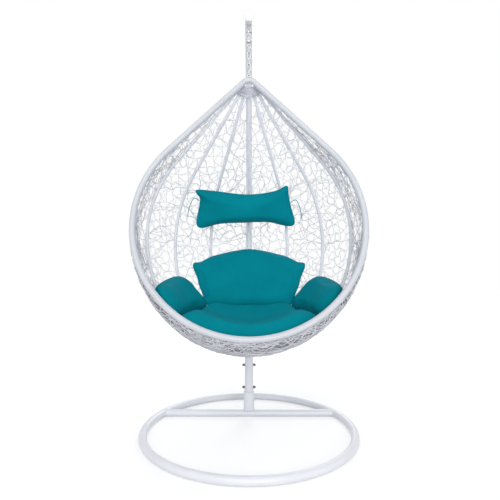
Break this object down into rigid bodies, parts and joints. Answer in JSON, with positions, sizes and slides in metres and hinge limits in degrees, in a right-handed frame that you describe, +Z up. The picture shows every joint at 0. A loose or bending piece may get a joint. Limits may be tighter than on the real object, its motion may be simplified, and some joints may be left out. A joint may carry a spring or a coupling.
{
  "type": "hanging chair",
  "caption": "Teardrop woven basket chair with cushions, hung by a spring and chain from a bent pole on a ring base.",
  "frame": {"origin": "centre of the ring base on the floor", "axes": "+Z up, -Y towards the basket's open front, +X to the right as seen by someone who faces the opening"},
  "size_m": [1.0474, 1.2573, 2.001],
  "materials": {
    "frame_paint": "satin",
    "rib_paint": "satin",
    "bolt_steel": "satin",
    "washer_steel": "satin",
    "hook_steel": "polished",
    "spring_paint": "satin",
    "cap_plastic": "satin",
    "weave": "satin",
    "teal_fabric": "matte",
    "tie_fabric": "matte"
  },
  "bodies": {
    "stand": {"base_ring": "frame_paint", "base_crossbar": "frame_paint", "base_post": "frame_paint", "post_collar": "frame_paint", "post_bolts": "bolt_steel", "post_nuts": "bolt_steel", "post_washers": "washer_steel", "lower_pole": "frame_paint", "upper_arm": "frame_paint", "pole_joint_bolt": "bolt_steel", "pole_joint_nut": "bolt_steel", "arm_end_cap": "cap_plastic", "arm_eye": "hook_steel"},
    "hook_link": {"top_link": "hook_steel"},
    "spring_head": {"spring_top_seat": "hook_steel", "spring": "spring_paint"},
    "spring_foot": {"spring_low_seat": "hook_steel"},
    "chair": {"swivel_eye": "hook_steel", "chain": "hook_steel", "chair_eye": "hook_steel", "rim_peak": "rib_paint", "rim_hoop": "rib_paint", "peak_hub": "rib_paint", "belly_hub": "rib_paint", "rib_left_3": "rib_paint", "rib_left_2": "rib_paint", "rib_left_1": "rib_paint", "rib_middle": "rib_paint", "rib_right_1": "rib_paint", "rib_right_2": "rib_paint", "rib_right_3": "rib_paint", "rib_front": "rib_paint", "woven_top": "weave", "woven_back": "weave", "woven_flank": "weave", "woven_belly": "weave", "woven_lip": "weave", "seat_cushion": "teal_fabric", "back_cushion": "teal_fabric", "arm_cushion_left": "teal_fabric", "arm_cushion_right": "teal_fabric", "head_pillow": "teal_fabric", "pillow_tie_left": "tie_fabric", "pillow_tie_right": "tie_fabric"}
  },
  "joints": [
    {"name": "swing_sideways", "type": "hinge", "parent": "stand", "child": "hook_link", "pos_m": [0, -0.03, 1.953], "axis": [0, 1, 0], "range_deg": [-8, 8]},
    {"name": "swing_front_back", "type": "hinge", "parent": "hook_link", "child": "spring_head", "pos_m": [0, -0.03, 1.936], "axis": [1, 0, 0], "range_deg": [-14, 3]},
    {"name": "spring_stretch", "type": "slide", "parent": "spring_head", "child": "spring_foot", "axis": [0, 0, -1], "range_m": [0, 0.02], "stiffness_N_per_m": 40000, "springref_m": -0.0125, "deforming": ["spring"]},
    {"name": "twist", "type": "hinge", "parent": "spring_foot", "child": "chair", "pos_m": [0, -0.03, 1.869], "axis": [0, 0, 1], "range_deg": [-40, 40]}
  ]
}
